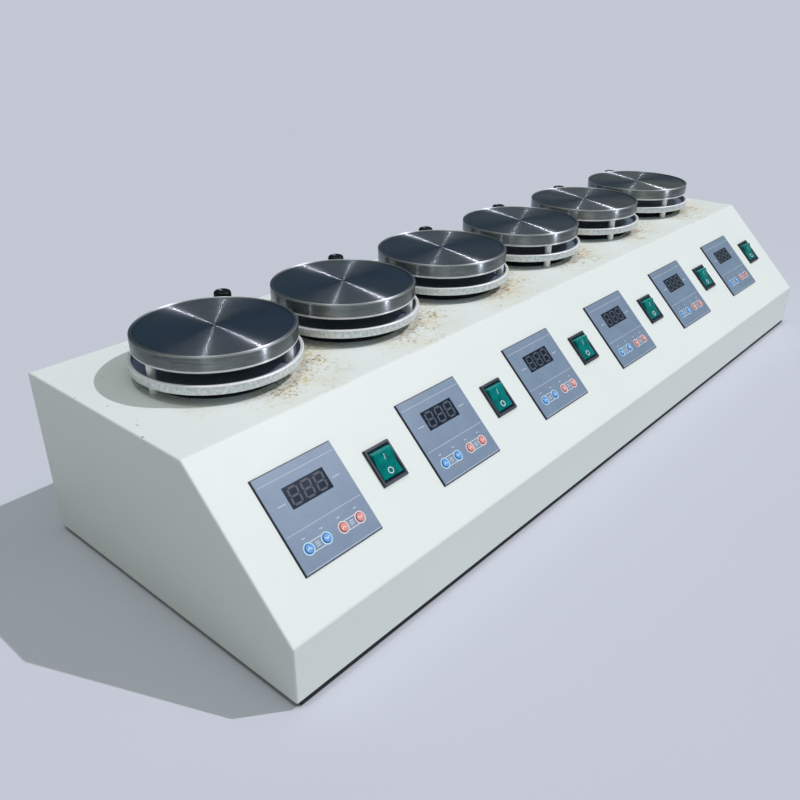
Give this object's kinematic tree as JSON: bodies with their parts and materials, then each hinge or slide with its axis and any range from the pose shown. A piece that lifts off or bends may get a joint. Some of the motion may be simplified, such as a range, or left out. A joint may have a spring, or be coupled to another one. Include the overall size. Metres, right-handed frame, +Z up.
{
  "type": "multi-position hotplate stirrer",
  "caption": "Long bench console with a row of round hot plates on its deck, each with a magnetic drive below, a speed knob behind, and a controller and rocker switch on the sloping front.",
  "frame": {"origin": "on the bench, under the middle of the bounding box", "axes": "+X along the row of plates to the operator's right, +Y to the rear, +Z up"},
  "size_m": [0.886, 0.2944, 0.1802],
  "materials": {
    "cream_paint": "semi-gloss cream enamel on sheet steel, worn and stained on the deck",
    "zinc_sheet": "plain zinc-plated sheet",
    "black_rubber": "matte moulded rubber",
    "zinc_steel": "bright zinc plating",
    "turned_steel": "face-turned stainless steel with concentric tool marks",
    "mica_element": "pressed mica heating element",
    "tray_aluminium": "dull, mottled spun aluminium",
    "post_steel": "plated turned posts",
    "motor_case": "black motor can",
    "black_moulding": "black moulded plastic, satin",
    "grey_film": "grey-blue printed polyester film",
    "dark_window": "smoked window, glossy",
    "circuit_board": "green circuit board with its parts",
    "pin_brass": "plain brass",
    "green_rocker": "translucent green plastic with white marks",
    "black_knob": "black fluted plastic",
    "magnet_bar": "sintered magnet bar on a steel shaft",
    "blue_key": "blue printed key",
    "red_key": "coral red printed key"
  },
  "bodies": {
    "console": {"housing_cover": "cream_paint", "base_plate": "zinc_sheet", "rubber_feet": "black_rubber", "base_screws": "zinc_steel", "hot_plates": "turned_steel", "heaters": "mica_element", "heat_trays": "tray_aluminium", "spacer_posts": "post_steel", "stir_motors": "motor_case", "motor_brackets": "zinc_sheet", "controller_bezels": "black_moulding", "face_films": "grey_film", "display_windows": "dark_window", "controller_boards": "circuit_board", "switch_frames": "black_moulding", "speed_pots": "zinc_steel", "power_inlet": "black_moulding", "inlet_pins": "pin_brass"},
    "rocker_1": {"rocker_1": "green_rocker"},
    "rocker_2": {"rocker_2": "green_rocker"},
    "rocker_3": {"rocker_3": "green_rocker"},
    "rocker_4": {"rocker_4": "green_rocker"},
    "rocker_5": {"rocker_5": "green_rocker"},
    "rocker_6": {"rocker_6": "green_rocker"},
    "speed_knob_1": {"speed_knob_1": "black_knob"},
    "speed_knob_2": {"speed_knob_2": "black_knob"},
    "speed_knob_3": {"speed_knob_3": "black_knob"},
    "speed_knob_4": {"speed_knob_4": "black_knob"},
    "speed_knob_5": {"speed_knob_5": "black_knob"},
    "speed_knob_6": {"speed_knob_6": "black_knob"},
    "drive_magnet_1": {"drive_magnet_1": "magnet_bar"},
    "drive_magnet_2": {"drive_magnet_2": "magnet_bar"},
    "drive_magnet_3": {"drive_magnet_3": "magnet_bar"},
    "drive_magnet_4": {"drive_magnet_4": "magnet_bar"},
    "drive_magnet_5": {"drive_magnet_5": "magnet_bar"},
    "drive_magnet_6": {"drive_magnet_6": "magnet_bar"},
    "blue_key_up_1": {"blue_key_up_1": "blue_key"},
    "blue_key_up_2": {"blue_key_up_2": "blue_key"},
    "blue_key_up_3": {"blue_key_up_3": "blue_key"},
    "blue_key_up_4": {"blue_key_up_4": "blue_key"},
    "blue_key_up_5": {"blue_key_up_5": "blue_key"},
    "blue_key_up_6": {"blue_key_up_6": "blue_key"},
    "blue_key_down_1": {"blue_key_down_1": "blue_key"},
    "blue_key_down_2": {"blue_key_down_2": "blue_key"},
    "blue_key_down_3": {"blue_key_down_3": "blue_key"},
    "blue_key_down_4": {"blue_key_down_4": "blue_key"},
    "blue_key_down_5": {"blue_key_down_5": "blue_key"},
    "blue_key_down_6": {"blue_key_down_6": "blue_key"},
    "red_key_up_1": {"red_key_up_1": "red_key"},
    "red_key_up_2": {"red_key_up_2": "red_key"},
    "red_key_up_3": {"red_key_up_3": "red_key"},
    "red_key_up_4": {"red_key_up_4": "red_key"},
    "red_key_up_5": {"red_key_up_5": "red_key"},
    "red_key_up_6": {"red_key_up_6": "red_key"},
    "red_key_down_1": {"red_key_down_1": "red_key"},
    "red_key_down_2": {"red_key_down_2": "red_key"},
    "red_key_down_3": {"red_key_down_3": "red_key"},
    "red_key_down_4": {"red_key_down_4": "red_key"},
    "red_key_down_5": {"red_key_down_5": "red_key"},
    "red_key_down_6": {"red_key_down_6": "red_key"}
  },
  "joints": [
    {"name": "rocker_1_tilt", "type": "hinge", "parent": "console", "child": "rocker_1", "pos_m": [-0.3055, -0.09577, 0.09632], "axis": [-1, 0, 0], "range_deg": [0, 20]},
    {"name": "rocker_2_tilt", "type": "hinge", "parent": "console", "child": "rocker_2", "pos_m": [-0.165, -0.09577, 0.09632], "axis": [-1, 0, 0], "range_deg": [0, 20]},
    {"name": "rocker_3_tilt", "type": "hinge", "parent": "console", "child": "rocker_3", "pos_m": [-0.0245, -0.09577, 0.09632], "axis": [-1, 0, 0], "range_deg": [0, 20]},
    {"name": "rocker_4_tilt", "type": "hinge", "parent": "console", "child": "rocker_4", "pos_m": [0.116, -0.09577, 0.09632], "axis": [-1, 0, 0], "range_deg": [0, 20]},
    {"name": "rocker_5_tilt", "type": "hinge", "parent": "console", "child": "rocker_5", "pos_m": [0.2565, -0.09577, 0.09632], "axis": [-1, 0, 0], "range_deg": [0, 20]},
    {"name": "rocker_6_tilt", "type": "hinge", "parent": "console", "child": "rocker_6", "pos_m": [0.397, -0.09577, 0.09632], "axis": [-1, 0, 0], "range_deg": [0, 20]},
    {"name": "speed_knob_1_turn", "type": "hinge", "parent": "console", "child": "speed_knob_1", "pos_m": [-0.27925, 0.11425, 0.1445], "axis": [0, 0, -1], "range_deg": [0, 300]},
    {"name": "speed_knob_2_turn", "type": "hinge", "parent": "console", "child": "speed_knob_2", "pos_m": [-0.14275, 0.11425, 0.1445], "axis": [0, 0, -1], "range_deg": [0, 300]},
    {"name": "speed_knob_3_turn", "type": "hinge", "parent": "console", "child": "speed_knob_3", "pos_m": [-0.00625, 0.11425, 0.1445], "axis": [0, 0, -1], "range_deg": [0, 300]},
    {"name": "speed_knob_4_turn", "type": "hinge", "parent": "console", "child": "speed_knob_4", "pos_m": [0.13025, 0.11425, 0.1445], "axis": [0, 0, -1], "range_deg": [0, 300]},
    {"name": "speed_knob_5_turn", "type": "hinge", "parent": "console", "child": "speed_knob_5", "pos_m": [0.26675, 0.11425, 0.1445], "axis": [0, 0, -1], "range_deg": [0, 300]},
    {"name": "speed_knob_6_turn", "type": "hinge", "parent": "console", "child": "speed_knob_6", "pos_m": [0.40325, 0.11425, 0.1445], "axis": [0, 0, -1], "range_deg": [0, 300]},
    {"name": "drive_magnet_1_spin", "type": "hinge", "parent": "console", "child": "drive_magnet_1", "pos_m": [-0.34125, 0.04225, 0.1445], "axis": [0, 0, 1], "continuous": true},
    {"name": "drive_magnet_2_spin", "type": "hinge", "parent": "console", "child": "drive_magnet_2", "pos_m": [-0.20475, 0.04225, 0.1445], "axis": [0, 0, 1], "continuous": true},
    {"name": "drive_magnet_3_spin", "type": "hinge", "parent": "console", "child": "drive_magnet_3", "pos_m": [-0.06825, 0.04225, 0.1445], "axis": [0, 0, 1], "continuous": true},
    {"name": "drive_magnet_4_spin", "type": "hinge", "parent": "console", "child": "drive_magnet_4", "pos_m": [0.06825, 0.04225, 0.1445], "axis": [0, 0, 1], "continuous": true},
    {"name": "drive_magnet_5_spin", "type": "hinge", "parent": "console", "child": "drive_magnet_5", "pos_m": [0.20475, 0.04225, 0.1445], "axis": [0, 0, 1], "continuous": true},
    {"name": "drive_magnet_6_spin", "type": "hinge", "parent": "console", "child": "drive_magnet_6", "pos_m": [0.34125, 0.04225, 0.1445], "axis": [0, 0, 1], "continuous": true},
    {"name": "blue_key_up_1_press", "type": "slide", "parent": "console", "child": "blue_key_up_1", "axis": [0, 0.7034, -0.7108], "range_m": [0, 0.0005], "stiffness_N_per_m": 2000},
    {"name": "blue_key_up_2_press", "type": "slide", "parent": "console", "child": "blue_key_up_2", "axis": [0, 0.7034, -0.7108], "range_m": [0, 0.0005], "stiffness_N_per_m": 2000},
    {"name": "blue_key_up_3_press", "type": "slide", "parent": "console", "child": "blue_key_up_3", "axis": [0, 0.7034, -0.7108], "range_m": [0, 0.0005], "stiffness_N_per_m": 2000},
    {"name": "blue_key_up_4_press", "type": "slide", "parent": "console", "child": "blue_key_up_4", "axis": [0, 0.7034, -0.7108], "range_m": [0, 0.0005], "stiffness_N_per_m": 2000},
    {"name": "blue_key_up_5_press", "type": "slide", "parent": "console", "child": "blue_key_up_5", "axis": [0, 0.7034, -0.7108], "range_m": [0, 0.0005], "stiffness_N_per_m": 2000},
    {"name": "blue_key_up_6_press", "type": "slide", "parent": "console", "child": "blue_key_up_6", "axis": [0, 0.7034, -0.7108], "range_m": [0, 0.0005], "stiffness_N_per_m": 2000},
    {"name": "blue_key_down_1_press", "type": "slide", "parent": "console", "child": "blue_key_down_1", "axis": [0, 0.7034, -0.7108], "range_m": [0, 0.0005], "stiffness_N_per_m": 2000},
    {"name": "blue_key_down_2_press", "type": "slide", "parent": "console", "child": "blue_key_down_2", "axis": [0, 0.7034, -0.7108], "range_m": [0, 0.0005], "stiffness_N_per_m": 2000},
    {"name": "blue_key_down_3_press", "type": "slide", "parent": "console", "child": "blue_key_down_3", "axis": [0, 0.7034, -0.7108], "range_m": [0, 0.0005], "stiffness_N_per_m": 2000},
    {"name": "blue_key_down_4_press", "type": "slide", "parent": "console", "child": "blue_key_down_4", "axis": [0, 0.7034, -0.7108], "range_m": [0, 0.0005], "stiffness_N_per_m": 2000},
    {"name": "blue_key_down_5_press", "type": "slide", "parent": "console", "child": "blue_key_down_5", "axis": [0, 0.7034, -0.7108], "range_m": [0, 0.0005], "stiffness_N_per_m": 2000},
    {"name": "blue_key_down_6_press", "type": "slide", "parent": "console", "child": "blue_key_down_6", "axis": [0, 0.7034, -0.7108], "range_m": [0, 0.0005], "stiffness_N_per_m": 2000},
    {"name": "red_key_up_1_press", "type": "slide", "parent": "console", "child": "red_key_up_1", "axis": [0, 0.7034, -0.7108], "range_m": [0, 0.0005], "stiffness_N_per_m": 2000},
    {"name": "red_key_up_2_press", "type": "slide", "parent": "console", "child": "red_key_up_2", "axis": [0, 0.7034, -0.7108], "range_m": [0, 0.0005], "stiffness_N_per_m": 2000},
    {"name": "red_key_up_3_press", "type": "slide", "parent": "console", "child": "red_key_up_3", "axis": [0, 0.7034, -0.7108], "range_m": [0, 0.0005], "stiffness_N_per_m": 2000},
    {"name": "red_key_up_4_press", "type": "slide", "parent": "console", "child": "red_key_up_4", "axis": [0, 0.7034, -0.7108], "range_m": [0, 0.0005], "stiffness_N_per_m": 2000},
    {"name": "red_key_up_5_press", "type": "slide", "parent": "console", "child": "red_key_up_5", "axis": [0, 0.7034, -0.7108], "range_m": [0, 0.0005], "stiffness_N_per_m": 2000},
    {"name": "red_key_up_6_press", "type": "slide", "parent": "console", "child": "red_key_up_6", "axis": [0, 0.7034, -0.7108], "range_m": [0, 0.0005], "stiffness_N_per_m": 2000},
    {"name": "red_key_down_1_press", "type": "slide", "parent": "console", "child": "red_key_down_1", "axis": [0, 0.7034, -0.7108], "range_m": [0, 0.0005], "stiffness_N_per_m": 2000},
    {"name": "red_key_down_2_press", "type": "slide", "parent": "console", "child": "red_key_down_2", "axis": [0, 0.7034, -0.7108], "range_m": [0, 0.0005], "stiffness_N_per_m": 2000},
    {"name": "red_key_down_3_press", "type": "slide", "parent": "console", "child": "red_key_down_3", "axis": [0, 0.7034, -0.7108], "range_m": [0, 0.0005], "stiffness_N_per_m": 2000},
    {"name": "red_key_down_4_press", "type": "slide", "parent": "console", "child": "red_key_down_4", "axis": [0, 0.7034, -0.7108], "range_m": [0, 0.0005], "stiffness_N_per_m": 2000},
    {"name": "red_key_down_5_press", "type": "slide", "parent": "console", "child": "red_key_down_5", "axis": [0, 0.7034, -0.7108], "range_m": [0, 0.0005], "stiffness_N_per_m": 2000},
    {"name": "red_key_down_6_press", "type": "slide", "parent": "console", "child": "red_key_down_6", "axis": [0, 0.7034, -0.7108], "range_m": [0, 0.0005], "stiffness_N_per_m": 2000}
  ]
}
